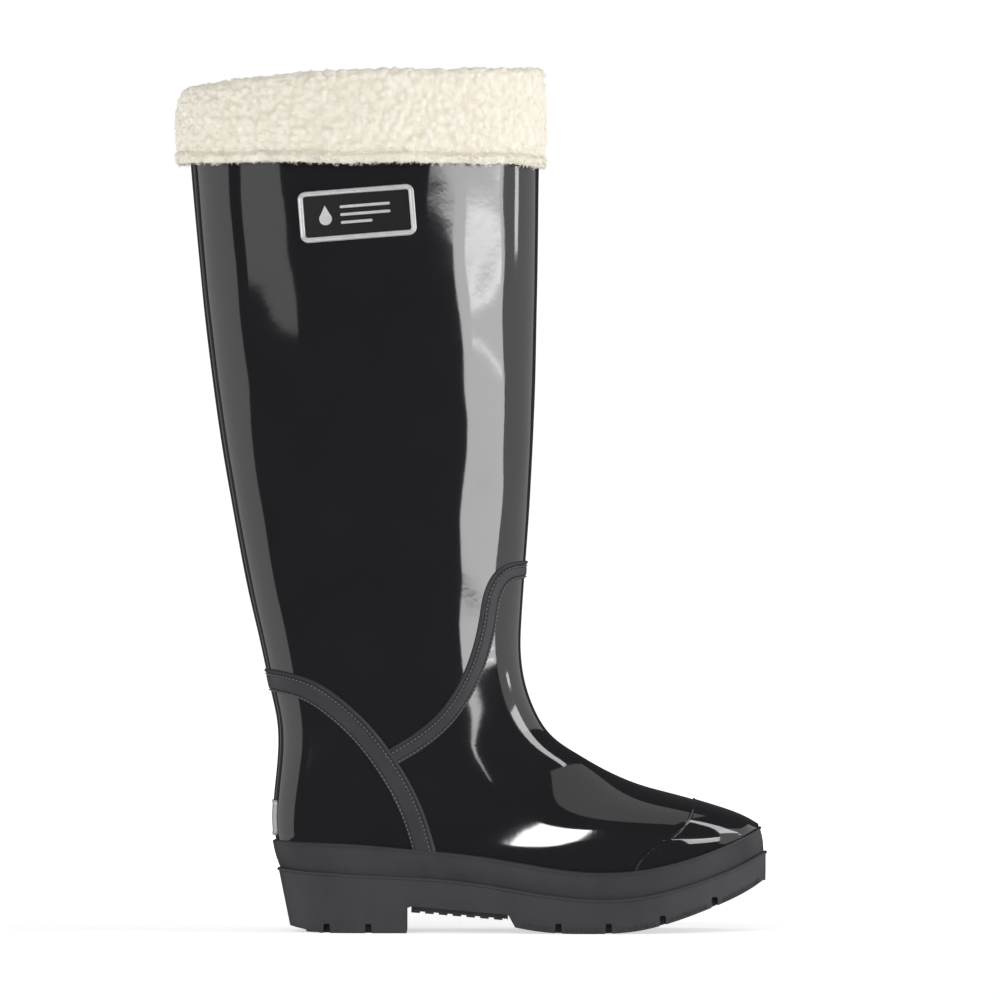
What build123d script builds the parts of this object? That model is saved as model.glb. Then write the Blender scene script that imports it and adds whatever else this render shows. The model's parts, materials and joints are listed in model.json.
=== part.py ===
from build123d import *
import math
import os

import numpy as np

# A tall moulded rain boot for the right foot, with a pull-out fleece liner folded over its top.
# The toe points along +X, the outer side of the foot is -Y and +Z is up. The origin is on the ground,
# under the middle of the boot's own box. Everything is in millimetres.

# ---- driving dimensions ------------------------------------------------------------------------------
WALL = 2.6  # the moulded shell
KNIT = 0.8  # the textile bonded inside the shell
FOXING_LIFT = 1.8  # how far each overlay stands out from the shell
COUNTER_BAND_LIFT = 1.5
VAMP_BAND_LIFT = 1.1
TOE_CAP_LIFT = 0.7
STRIP_LIFT = 0.7
COUNTER_BAND_WIDTH = 12.0
VAMP_BAND_WIDTH = 9.6
STRIP_WIDTH = 21.0

LINER_GAP = 1.0  # between the liner and the textile, so that it slides
LINER_THICK = 4.5
LINER_HEM_THICK = 6.0
LINER_BOTTOM = 165.0
LINER_HEM_HEIGHT = 7.0
CUFF_GAP = 1.0
CUFF_BOTTOM = 414.0
CUFF_HEM_HEIGHT = 5.5

BOARD_GAP = 0.05
BOARD_THICK = 2.4
FOOTBED_GAP = 0.4  # under the footbed
FOOTBED_SIDE_GAP = 1.2  # round it, so that it can tilt
FOAM_THICK = 5.0
PLUSH_THICK = 2.5

TREAD_INSET = 8.0
TREAD_DEPTH = 6.0
GROOVE_WIDTH = 4.0
GROOVE_DEPTH = 5.0
TREAD_STAGGER = 12.0

BADGE_CENTRE = (-60.4, 386.2)  # x, z on the outer side of the leg
BADGE_SIZE = (62.0, 27.6)
BADGE_TILT = 4.5  # degrees, front end up
BADGE_CORNER = 4.2
BADGE_RIM = 2.9
PLATE_LIFT, MOTIF_LIFT, FRAME_LIFT = 1.1, 1.5, 1.8
HEEL_BADGE_Z = (52.0, 71.0)
HEEL_BADGE_WIDTH = 23.6
HEEL_BADGE_RIM = 1.6

FAR = 400.0  # longer than the boot, for cutting solids

# ---- the upper's shape -------------------------------------------------------------------------------
# Stations run down the leg, round the heel and out to the toe. Each is one flat cross-section, from a point
# on the back or under the foot to a point on the front or on top of it. Its columns are back x, back z,
# front x, front z, outer half width, inner half width, squareness of the back half and of the front half.
STATIONS = [
    (-155.0, 470.0, 38.2, 480.0, 49.5, 49.5, 2.1, 2.1),
    (-152.8, 444.0, 37.5, 453.0, 49.2, 49.2, 2.1, 2.1),
    (-150.0, 410.0, 36.7, 415.0, 48.8, 48.8, 2.1, 2.1),
    (-143.6, 340.5, 36.0, 341.5, 47.3, 47.3, 2.1, 2.1),
    (-135.3, 275.0, 34.8, 276.0, 44.8, 44.8, 2.1, 2.1),
    (-126.6, 221.0, 31.4, 223.0, 41.5, 41.5, 2.1, 2.1),
    (-118.0, 178.0, 28.2, 182.0, 38.6, 38.6, 2.15, 2.1),
    (-112.3, 154.0, 27.0, 162.5, 37.0, 37.0, 2.2, 2.1),
    (-107.2, 131.5, 27.3, 148.5, 36.0, 36.0, 2.25, 2.1),
    (-103.3, 112.5, 29.0, 137.0, 35.5, 35.3, 2.35, 2.1),
    (-103.3, 92.3, 32.2, 126.0, 35.3, 35.0, 2.5, 2.05),
    (-105.2, 73.0, 36.6, 116.0, 35.1, 34.5, 2.6, 2.0),
    (-105.4, 54.5, 42.2, 107.6, 34.6, 33.8, 2.7, 2.0),
    (-100.6, 37.8, 49.3, 101.2, 33.6, 32.2, 2.8, 2.0),
    (-87.5, 27.6, 57.8, 95.8, 32.2, 29.6, 3.0, 2.0),
    (-64.0, 24.0, 67.3, 90.2, 32.3, 27.8, 3.2, 2.0),
    (-31.5, 22.0, 78.0, 84.7, 35.2, 28.8, 3.3, 2.0),
    (5.4, 18.9, 89.6, 79.9, 40.0, 33.0, 3.3, 2.05),
    (43.2, 14.8, 101.2, 76.4, 44.2, 39.2, 3.3, 2.1),
    (75.6, 13.6, 113.4, 73.2, 44.8, 41.6, 3.3, 2.2),
    (102.6, 16.3, 125.3, 69.8, 41.0, 40.2, 3.2, 2.3),
    (122.6, 22.0, 136.1, 66.4, 34.6, 35.8, 3.1, 2.35),
    (138.8, 29.5, 145.2, 63.0, 25.8, 29.2, 3.0, 2.4),
    (148.6, 35.5, 151.6, 59.8, 16.8, 21.6, 2.8, 2.4),
    (154.2, 39.5, 155.4, 57.4, 6.8, 13.0, 2.6, 2.4),
]
TOP_STATION = 1  # the leg's top edge; the station above it only carries the cuff
ANKLE_STATION = 8  # the last station that the liner needs
TOE_SHARE = {-1: 1.0, -2: 0.8, -3: 0.5, -4: 0.25}  # how much of a lift pushes the toe's stations forward
SKIN_JOINTS = (3, 5, 7, 9, 11, 13, 15, 18, 21)  # stations where the skin's faces meet

# The cuff's outer stations stand off the leg more at the back than at the front.
CUFF_STATIONS = [
    (-157.5, 413.0, 41.6, 413.0, 57.2, 57.2, 2.2, 2.2),
    (-159.9, 432.0, 42.0, 436.0, 58.6, 58.6, 2.2, 2.2),
    (-158.6, 447.0, 41.6, 455.0, 57.2, 57.2, 2.2, 2.2),
    (-152.5, 455.6, 38.5, 464.6, 52.0, 52.0, 2.2, 2.2),
]

# ---- lines seen from the side, as (x, z) -------------------------------------------------------------
COUNTER_SEAM = [(-118, 137), (-102, 134.8), (-87, 130.5), (-72, 120.8), (-56.5, 106), (-44.5, 90), (-34, 71.5),
                (-26, 50), (-20, 28)]
VAMP_SEAM = [(44, 195.4), (29, 195.2), (20, 192.8), (13.5, 184.5), (10, 169), (5.5, 150), (-3, 130), (-15, 113.5),
             (-30, 101.5), (-46, 92)]
TOE_SEAM = [(121.5, 78), (119.2, 68), (113.8, 57.3), (102.4, 49.2), (93, 42), (87.5, 33)]
FOXING_TOP = [(-115, 50.6), (-101, 49.4), (-64, 47.9), (-36, 45.6), (0, 42), (30, 37.4), (53, 33.9), (80, 33.2),
              (113, 38.8), (132, 45), (148, 51.7), (165, 60.5)]
RIDGE = [(-112, 35.4), (-80.5, 32.7), (-53, 31), (-22, 29.6), (0, 27.4), (23, 23.8), (53, 19.5), (76, 18.6),
         (95, 20.5), (120, 27), (141.5, 34.6), (157, 42), (166, 46.6)]
BOARD_TOP = [(-112, 47), (-98, 38.5), (-88, 33.8), (-64, 30.2), (-31, 28.2), (5, 25), (43, 20.8), (76, 19.6),
             (103, 22.4), (122, 28), (139, 36), (160, 47)]

# ---- the sole ----------------------------------------------------------------------------------------
SOLE_OUTLINE = [(-103.4, 0), (-95, -22), (-72, -33), (-18, -35), (25, -42.2), (68, -47.6), (106, -44.6), (138, -30.5),
                (156, -9), (159.8, 8), (152, 25.5), (122, 40.5), (80, 44.5), (32, 35.5), (-18, 28.6), (-70, 32.5),
                (-94, 22)]
GROUND_OUTLINE_SHIFT = 7.0  # the heel's back wall leans in by this much on its way down
SOLE_TAPER = 1.6  # and the side walls by this much
HEEL_BREAST = -34.0
ARCH_REAR, ARCH_FRONT = (-31.5, 14.4), (20.5, 10.2)
BALL_REAR = (24.3, 3.4)
FOREFOOT_BOTTOM = [(24.3, 3.4), (42, 0.7), (66, 0), (88.6, 1.4), (104.8, 5), (129.6, 13.6), (146.9, 21), (158, 27.4)]
HEEL_NOTCHES = (-77.0, -54.5)
FOREFOOT_NOTCHES = (47.5, 74.5, 103.5, 131.5)
ARCH_RIB_DROP = 3.4
ARCH_RIB_DEPTH = 0.9
ARCH_RIB_PITCH = 7.4
ARCH_RIB_WIDTH = 4.6


def natural_spline(knots, values, at):
    """The natural cubic spline through rows of values, read at other places."""
    gap = np.diff(knots)[:, None]
    slope = np.diff(values, axis=0) / gap
    count = len(knots)
    system, right = np.eye(count), np.zeros(values.shape)
    for i in range(1, count - 1):
        system[i, i - 1:i + 2] = gap[i - 1, 0], 2 * (gap[i - 1, 0] + gap[i, 0]), gap[i, 0]
        right[i] = 6 * (slope[i] - slope[i - 1])
    bend = np.linalg.solve(system, right)
    k = np.clip(np.searchsorted(knots, at) - 1, 0, count - 2)
    before, after = (at - knots[k])[:, None], (knots[k + 1] - at)[:, None]
    curve = (bend[k] * after**3 + bend[k + 1] * before**3) / (6 * gap[k])
    start = (values[k] / gap[k] - bend[k] * gap[k] / 6) * after
    return curve + start + (values[k + 1] / gap[k] - bend[k + 1] * gap[k] / 6) * before


def section_points(stations, lift, turn):
    """Points at angles round each station, moved out by lift in the station's own plane."""
    back, front = stations[:, 0:2], stations[:, 2:4]
    middle, reach = (back + front) / 2, np.linalg.norm(front - back, axis=1)[:, None] / 2
    along = (front - back) / (2 * reach)
    outer, inner, square_back, square_front, share = (stations[:, i, None] for i in range(4, 9))
    blend = (1 + np.cos(turn)) / 2
    square = square_back + (square_front - square_back) * blend
    swell = (np.abs(np.cos(turn)) ** square + np.abs(np.sin(turn)) ** square) ** (-1 / square)
    forward = (reach + lift) * swell * np.cos(turn)
    across = (inner - outer) / 2 + ((inner + outer) / 2 + lift) * swell * np.sin(turn)
    x = middle[:, 0, None] + forward * along[:, 0, None] + lift * share
    z = middle[:, 1, None] + forward * along[:, 1, None]
    return np.stack([x, across, z], axis=2)


def bezier_fit(degree, samples):
    """The matrix that turns evenly spaced samples into the control points of one Bezier curve."""
    t = np.linspace(0, 1, samples)[:, None]
    k = np.arange(degree + 1)
    choose = np.array([math.comb(degree, i) for i in k])
    basis = choose * t**k * (1 - t) ** (degree - k)
    ends = np.zeros((degree + 1, samples))
    ends[0, 0] = ends[-1, -1] = 1.0
    inner = np.linalg.pinv(basis[:, 1:-1]) @ (np.eye(samples) - basis[:, [0]] @ ends[[0]] - basis[:, [-1]] @ ends[[-1]])
    ends[1:-1] = inner
    return ends


def skin_solid(stations, joints, lift):
    """A solid through the stations, its smooth skin moved out by lift and its two ends flat."""
    stations = np.array(stations)
    steps = [np.linalg.norm(np.diff(stations[:, c:c + 2], axis=0), axis=1) for c in (0, 2)]
    knots = np.concatenate([[0.0], np.cumsum(sum(steps) / 2)])
    fit_along, fit_round = bezier_fit(5, 16), bezier_fit(7, 24)
    faces, rims = [], {0: [], len(joints) - 2: []}
    for row in range(len(joints) - 1):
        at = np.linspace(knots[joints[row]], knots[joints[row + 1]], 16)
        rows = natural_spline(knots, stations, at)
        for quarter in range(4):
            turn = np.linspace(quarter, quarter + 1, 24) * np.pi / 2
            grid = section_points(rows, lift, turn)
            control = np.einsum("ij,jkc,lk->ilc", fit_along, grid, fit_round)
            faces.append(Face.make_bezier_surface([[tuple(p) for p in line] for line in control]))
            if row in rims:
                rims[row].append(Edge.make_bezier(*[tuple(p) for p in control[0 if row == 0 else -1]]))
    for edges in rims.values():
        faces.append(Face(Wire(edges)))
    return Solid(Shell(faces))


def upper_solid(lift, top=TOP_STATION, bottom=None):
    """The upper as one solid, its surface moved out by lift, between two stations."""
    count = len(STATIONS)
    last = count - 1 if bottom is None else bottom
    rows = [(*STATIONS[i], TOE_SHARE.get(i - count, 0.0)) for i in range(top, last + 1)]
    joints = [0] + [j - top for j in SKIN_JOINTS if top < j < last] + [last - top]
    return skin_solid(rows, joints, lift)


def smooth(points):
    """One spline in the side view."""
    return Spline(*[(x, 0, z) for x, z in points])


def side_prism(line, *corners):
    """What lies between a side-view line and the corners that close it, right across the boot."""
    edges = [smooth(line)]
    path = [line[-1], *corners, line[0]]
    for a, b in zip(path, path[1:]):
        edges.append(Line((a[0], 0, a[1]), (b[0], 0, b[1])))
    return extrude(make_face(Wire(edges)), amount=FAR / 2, both=True, dir=(0, 1, 0))


def between(low, high):
    """What lies between two side-view lines, right across the boot."""
    edges = [smooth(low), smooth(high)]
    for a, b in ((low[0], high[0]), (low[-1], high[-1])):
        edges.append(Line((a[0], 0, a[1]), (b[0], 0, b[1])))
    return extrude(make_face(Wire(edges)), amount=FAR / 2, both=True, dir=(0, 1, 0))


def beside(line, gap):
    """The same side-view line moved sideways, to the left of its own direction."""
    points = np.array(line, float)
    step = np.gradient(points, axis=0)
    normal = np.stack([-step[:, 1], step[:, 0]], axis=1) / np.linalg.norm(step, axis=1)[:, None]
    return [tuple(p) for p in points + gap * normal]


def raised(line, rise):
    return [(x, z + rise) for x, z in line]


def slab(low, high):
    """A box from its lowest to its highest corner."""
    size = [h - l for l, h in zip(low, high)]
    return Pos(*low) * Box(*size, align=(Align.MIN, Align.MIN, Align.MIN))


def plain(shape):
    """The solids of a result as one shape, largest first."""
    solids = sorted(shape.solids(), key=lambda s: -s.volume)
    return Compound(children=solids) if len(solids) > 1 else solids[0]


# ---- the moulded upper -------------------------------------------------------------------------------
def upper_parts(skin):
    shell = skin[0] - skin[-WALL]
    counter_cut = side_prism(COUNTER_SEAM, (-20, -20), (-FAR / 2, -20), (-FAR / 2, 137))
    vamp_cut = side_prism(VAMP_SEAM, (-46, -20), (FAR / 2, -20), (FAR / 2, 195.4)) - counter_cut
    above_foxing = side_prism(FOXING_TOP, (165, FAR), (-115, FAR))
    toe_cut = side_prism(TOE_SEAM, (FAR / 2, 33), (FAR / 2, 78)) & above_foxing
    return {
        "leg_shaft": shell - counter_cut - vamp_cut,
        "heel_counter": shell & counter_cut,
        "vamp": shell & vamp_cut,
        "toe_cap": (skin[TOE_CAP_LIFT] - skin[0]) & toe_cut,
        "knit_lining": skin[-WALL] - skin[-WALL - KNIT],
    }


def band_parts(skin):
    above_foxing = side_prism(FOXING_TOP, (165, FAR), (-115, FAR))
    counter_line = between(beside(COUNTER_SEAM, -COUNTER_BAND_WIDTH / 2), beside(COUNTER_SEAM, COUNTER_BAND_WIDTH / 2))
    vamp_line = between(beside(VAMP_SEAM, -VAMP_BAND_WIDTH / 2), beside(VAMP_SEAM, VAMP_BAND_WIDTH / 2))
    behind_band = side_prism(beside(COUNTER_SEAM, -COUNTER_BAND_WIDTH / 2), (-20, -20), (-FAR / 2, -20),
                             (-FAR / 2, 131))
    under_edge = side_prism(beside(COUNTER_SEAM, COUNTER_BAND_WIDTH / 2), (-20, -20), (-FAR / 2, -20),
                            (-FAR / 2, 143))
    strip = (skin[STRIP_LIFT] - skin[0]) & slab(
        (-FAR / 2, -STRIP_WIDTH / 2, 0), (-60, STRIP_WIDTH / 2, FAR * 1.5))
    badge_zone = heel_badge_prism(0.0)
    return {
        "counter_band": (skin[COUNTER_BAND_LIFT] - skin[0]) & counter_line & above_foxing,
        "vamp_band": ((skin[VAMP_BAND_LIFT] - skin[0]) & vamp_line) - under_edge,
        "leg_back_strip": strip - under_edge,
        "heel_back_strip": (strip & behind_band & above_foxing) - badge_zone,
    }


# ---- badges ------------------------------------------------------------------------------------------
def badge_prism(inset):
    """The leg badge's rounded outline, taken in by inset, as a block on the outer side."""
    width, height = (s - 2 * inset for s in BADGE_SIZE)
    plane = Plane((BADGE_CENTRE[0], 0, BADGE_CENTRE[1]), x_dir=(1, 0, 0), z_dir=(0, -1, 0))
    face = plane * Rot(0, 0, BADGE_TILT) * RectangleRounded(width, height, max(BADGE_CORNER - inset, 1.0))
    return extrude(face, amount=FAR / 4, dir=(0, -1, 0))


def badge_motif_prism():
    """A raindrop and three plain bars, which stand for no maker."""
    plane = Plane((BADGE_CENTRE[0], 0, BADGE_CENTRE[1]), x_dir=(1, 0, 0), z_dir=(0, -1, 0)) * Rot(0, 0, BADGE_TILT)
    drop_x, drop_r, tip = -17.0, 3.4, 7.2
    ring = Circle(drop_r) + Polygon((-drop_r * 0.88, 1.3), (drop_r * 0.88, 1.3), (0, tip), align=None)
    shapes = [Pos(drop_x, -1.6) * ring]
    for row, length in enumerate((27.0, 27.0, 17.0)):
        shapes.append(Pos(-9 + length / 2, 4.2 - 4.2 * row) * SlotOverall(length, 1.5))
    return [extrude(plane * s, amount=FAR / 4, dir=(0, -1, 0)) for s in shapes]


def heel_badge_prism(inset):
    low, high = HEEL_BADGE_Z
    height, width = high - low - 2 * inset, HEEL_BADGE_WIDTH - 2 * inset
    plane = Plane((0, 0, (low + high) / 2), x_dir=(0, -1, 0), z_dir=(-1, 0, 0))
    return extrude(plane * RectangleRounded(width, height, 2.4 - inset), amount=FAR / 2, dir=(-1, 0, 0))


def badge_parts(skin):
    plate_cut, heel_plate_cut = badge_prism(BADGE_RIM), heel_badge_prism(HEEL_BADGE_RIM)
    motif = (skin[MOTIF_LIFT] - skin[PLATE_LIFT])
    return {
        "badge_frame": (skin[FRAME_LIFT] - skin[0]) & badge_prism(0.0) - plate_cut,
        "badge_plate": (skin[PLATE_LIFT] - skin[0]) & plate_cut,
        "badge_motif": Compound(children=[s for cut in badge_motif_prism() for s in (motif & cut).solids()]),
        "heel_badge_frame": (skin[COUNTER_BAND_LIFT] - skin[0]) & (heel_badge_prism(0.0) - heel_plate_cut),
        "heel_badge_plate": (skin[VAMP_BAND_LIFT] - skin[0]) & heel_plate_cut,
    }


# ---- the sole ----------------------------------------------------------------------------------------
def sole_section(z, shift, taper, inset=0.0):
    """The sole's plan outline at a height, its heel moved forward by shift and its sides in by taper and inset."""
    x, y = np.array(SOLE_OUTLINE, float).T
    heelward = np.clip((-20.0 - x) / (-20.0 - x.min()), 0.0, None)
    points = np.stack([x + shift * heelward - 0.4 * taper * np.clip(x / x.max(), 0.0, None), y * (1 - taper / 46)], 1)
    step = np.roll(points, -1, axis=0) - np.roll(points, 1, axis=0)
    inward = np.stack([-step[:, 1], step[:, 0]], axis=1) / np.linalg.norm(step, axis=1)[:, None]
    points += inset * inward
    return Wire([Spline(*[(px, py, z) for px, py in points], periodic=True)])


def sole_block():
    """The sole's flared wall as a solid block, from the ground to above the foxing."""
    rise = 34.0
    wires = [sole_section(-2.0, GROUND_OUTLINE_SHIFT * (rise + 2) / rise, SOLE_TAPER), sole_section(rise, 0.0, 0.0),
             sole_section(60.0, -GROUND_OUTLINE_SHIFT * 26 / rise, 0.0)]
    return Solid.make_loft(wires, ruled=True)


def sole_profile():
    """The sole seen from the side: ridge line on top, then toe, forefoot, arch, heel breast and heel."""
    heel_toe_z = 3.4
    bottom = [FOREFOOT_BOTTOM[0], ARCH_FRONT, ARCH_REAR, (HEEL_BREAST, ARCH_REAR[1] - 1), (HEEL_BREAST, 0), (-80, 0),
              (-97, heel_toe_z), (-112, heel_toe_z + 3)]
    edges = [smooth(RIDGE), smooth(FOREFOOT_BOTTOM)]
    for a, b in ((RIDGE[-1], (166, 27.4)), ((166, 27.4), FOREFOOT_BOTTOM[-1])):
        edges.append(Line((a[0], 0, a[1]), (b[0], 0, b[1])))
    path = [*bottom, RIDGE[0]]
    for a, b in zip(path, path[1:]):
        edges.append(Line((a[0], 0, a[1]), (b[0], 0, b[1])))
    return extrude(make_face(Wire(edges)), amount=FAR / 4, both=True, dir=(0, 1, 0))


def forefoot_height(x):
    xs, zs = zip(*FOREFOOT_BOTTOM)
    return float(np.interp(x, xs, zs))


def notch(x, z):
    """A tapered groove right across the sole, with its mouth at the ground."""
    half, top = GROOVE_WIDTH / 2 + 0.6, GROOVE_WIDTH / 2 - 0.5
    corners = [(x - half, -9), (x + half, -9), (x + top, z + GROOVE_DEPTH), (x - top, z + GROOVE_DEPTH)]
    face = make_face(Polyline(*[(px, 0, pz) for px, pz in corners], close=True))
    return extrude(face, amount=FAR / 2, both=True, dir=(0, 1, 0))


def all_notches(shift):
    """Every groove across the sole, moved forward by shift."""
    cuts = [notch(x + shift, 0.0) for x in HEEL_NOTCHES]
    return cuts + [notch(x + shift, forefoot_height(x + shift)) for x in FOREFOOT_NOTCHES]


def tread_zone(inset, x_low, x_high):
    """The middle of the sole seen from above, inset from its edge, between two places along it."""
    inside = make_face(sole_section(-20.0, GROUND_OUTLINE_SHIFT, SOLE_TAPER, inset))
    return extrude(inside, amount=100.0, dir=(0, 0, 1)) & slab((x_low, -100, -30), (x_high, 100, 90))


def sole_parts(skin):
    body = (sole_block() & sole_profile()) - skin[0]
    heel_zone = tread_zone(TREAD_INSET, -FAR, HEEL_BREAST - 6) & slab((-FAR, -100, 0), (0, 100, TREAD_DEPTH))
    ball = tread_zone(TREAD_INSET, BALL_REAR[0] + 7, 147)
    fore_zone = ball & between(FOREFOOT_BOTTOM, raised(FOREFOOT_BOTTOM, TREAD_DEPTH))
    arch_low = [ARCH_REAR, ARCH_FRONT]
    arch_zone = tread_zone(6.0, ARCH_REAR[0], ARCH_FRONT[0]) & between(
        raised(arch_low, -ARCH_RIB_DROP), raised(arch_low, 2.0))
    ribs = arch_zone
    gaps = np.arange(ARCH_REAR[0] + ARCH_RIB_WIDTH, ARCH_FRONT[0], ARCH_RIB_PITCH)
    rib_feet = between(raised(arch_low, -ARCH_RIB_DROP - 3), raised(arch_low, ARCH_RIB_DEPTH - ARCH_RIB_DROP))
    for x in gaps:
        ribs -= rib_feet & slab((x, -100, -5), (x + ARCH_RIB_PITCH - ARCH_RIB_WIDTH, 100, 40))
    heel_tread, forefoot_tread = heel_zone, fore_zone
    grooves = all_notches(TREAD_STAGGER)
    channel = slab((-FAR, -GROOVE_WIDTH / 2, -5), (HEEL_BREAST - 14, GROOVE_WIDTH / 2, GROOVE_DEPTH - 1))
    for cut in [*grooves, channel]:
        heel_tread -= cut
    for cut in grooves:
        forefoot_tread -= cut
    for side in (-1, 1):
        forefoot_tread -= Pos(0, side * 13, 0) * between(
            raised(FOREFOOT_BOTTOM, -3), raised(FOREFOOT_BOTTOM, GROOVE_DEPTH - 1.5)) & slab(
            (-FAR, side * 13 - 1.6, -20), (FAR, side * 13 + 1.6, 80))
    outsole = body - heel_zone - fore_zone - arch_zone
    for cut in all_notches(0.0):
        outsole -= cut
    foxing = (skin[FOXING_LIFT] - skin[0]) & between(RIDGE, FOXING_TOP)
    return {
        "outsole": outsole,
        "heel_tread": heel_tread,
        "forefoot_tread": forefoot_tread,
        "arch_ribs": ribs,
        "foxing_band": foxing,
    }


# ---- inside the foot ---------------------------------------------------------------------------------
def footbed_parts():
    inside = upper_solid(-WALL - KNIT - FOOTBED_SIDE_GAP)
    board = upper_solid(-WALL - KNIT - BOARD_GAP) & side_prism(BOARD_TOP, (160, -20), (-112, -20))
    foam_low = raised(BOARD_TOP, FOOTBED_GAP)
    foam_high = raised(foam_low, FOAM_THICK)
    plush_high = raised(foam_high, PLUSH_THICK)
    return {
        "insole_board": board,
        "footbed_foam": inside & between(foam_low, foam_high),
        "footbed_plush": inside & between(foam_high, plush_high),
    }


# ---- the liner ---------------------------------------------------------------------------------------
def leg_well():
    """The straight-sided space under the cuff that the leg's top stands in."""
    top = np.array([(*STATIONS[TOP_STATION], 0.0)])
    turn = np.linspace(0, 2 * np.pi, 32, endpoint=False)
    rim = section_points(top, CUFF_GAP + STRIP_LIFT, turn)[0]
    face = make_face(Wire([Spline(*[tuple(p) for p in rim], periodic=True)]))
    return extrude(Pos(0, 0, 10) * face, amount=90, dir=(0, 0, -1))


def liner_parts():
    outer = upper_solid(-WALL - KNIT - LINER_GAP, top=0, bottom=ANKLE_STATION)
    inner = upper_solid(-WALL - KNIT - LINER_GAP - LINER_THICK, top=0, bottom=ANKLE_STATION)
    hem_inner = upper_solid(-WALL - KNIT - LINER_GAP - LINER_HEM_THICK, top=0, bottom=ANKLE_STATION)
    back_top, front_top = STATIONS[TOP_STATION][:2], STATIONS[TOP_STATION][2:4]
    slope = (front_top[1] - back_top[1]) / (front_top[0] - back_top[0])

    def rim(rise):
        """A side-view line over the leg's top edge, higher by rise."""
        return [(x, back_top[1] + slope * (x - back_top[0]) + rise) for x in (-FAR / 2, 0, FAR / 2)]

    below_rim = side_prism(rim(CUFF_GAP), (FAR / 2, -20), (-FAR / 2, -20))
    hem_top = LINER_BOTTOM + LINER_HEM_HEIGHT
    tube = outer & below_rim & slab((-FAR, -FAR, hem_top), (FAR, FAR, FAR * 2))
    hem = (outer & slab((-FAR, -FAR, LINER_BOTTOM), (FAR, FAR, hem_top))) - hem_inner
    jacket = skin_solid([(*s, 0.0) for s in CUFF_STATIONS], (0, 1, 3), 0.0)
    cuff = (jacket - (leg_well() & below_rim)) - inner
    hem_cut = CUFF_BOTTOM + CUFF_HEM_HEIGHT
    return {
        "liner_leg": tube - inner,
        "liner_ankle_hem": hem,
        "fleece_cuff": cuff & slab((-FAR, -FAR, hem_cut), (FAR, FAR, FAR * 2)),
        "cuff_hem": cuff & slab((-FAR, -FAR, CUFF_BOTTOM), (FAR, FAR, hem_cut)),
    }


def main():
    os.makedirs("parts", exist_ok=True)
    lifts = {0, -WALL, -WALL - KNIT, TOE_CAP_LIFT, STRIP_LIFT, VAMP_BAND_LIFT, PLATE_LIFT, MOTIF_LIFT,
             COUNTER_BAND_LIFT, FRAME_LIFT, FOXING_LIFT}
    skin = {lift: upper_solid(lift) for lift in lifts}
    parts = {}
    for made in (upper_parts(skin), band_parts(skin), badge_parts(skin), sole_parts(skin), footbed_parts(),
                 liner_parts()):
        parts.update(made)
    for name, shape in parts.items():
        export_step(plain(shape), f"parts/{name}.step")


main()
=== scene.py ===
import json
import math

import bpy
import numpy as np
from mathutils import Euler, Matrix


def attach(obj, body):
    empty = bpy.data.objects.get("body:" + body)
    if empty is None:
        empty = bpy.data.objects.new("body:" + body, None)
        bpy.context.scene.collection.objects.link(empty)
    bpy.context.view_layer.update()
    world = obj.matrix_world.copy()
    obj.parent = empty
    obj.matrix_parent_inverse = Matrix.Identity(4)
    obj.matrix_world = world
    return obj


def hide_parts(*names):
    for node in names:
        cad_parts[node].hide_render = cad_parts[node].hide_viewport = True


# A tall gloss rain boot for the right foot, its fleece liner folded over the top of the leg.
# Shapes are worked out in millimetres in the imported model's own frame and put into meshes in metres.

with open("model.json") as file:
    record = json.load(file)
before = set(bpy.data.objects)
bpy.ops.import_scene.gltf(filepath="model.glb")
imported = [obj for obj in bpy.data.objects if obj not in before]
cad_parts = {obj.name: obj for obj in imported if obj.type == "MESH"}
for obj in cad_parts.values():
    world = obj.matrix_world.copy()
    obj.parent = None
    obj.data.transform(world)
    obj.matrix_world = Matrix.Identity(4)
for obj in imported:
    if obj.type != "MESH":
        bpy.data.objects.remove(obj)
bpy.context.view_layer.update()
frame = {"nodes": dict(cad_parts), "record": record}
NODES = frame["nodes"]
TAU = 2 * math.pi

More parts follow.
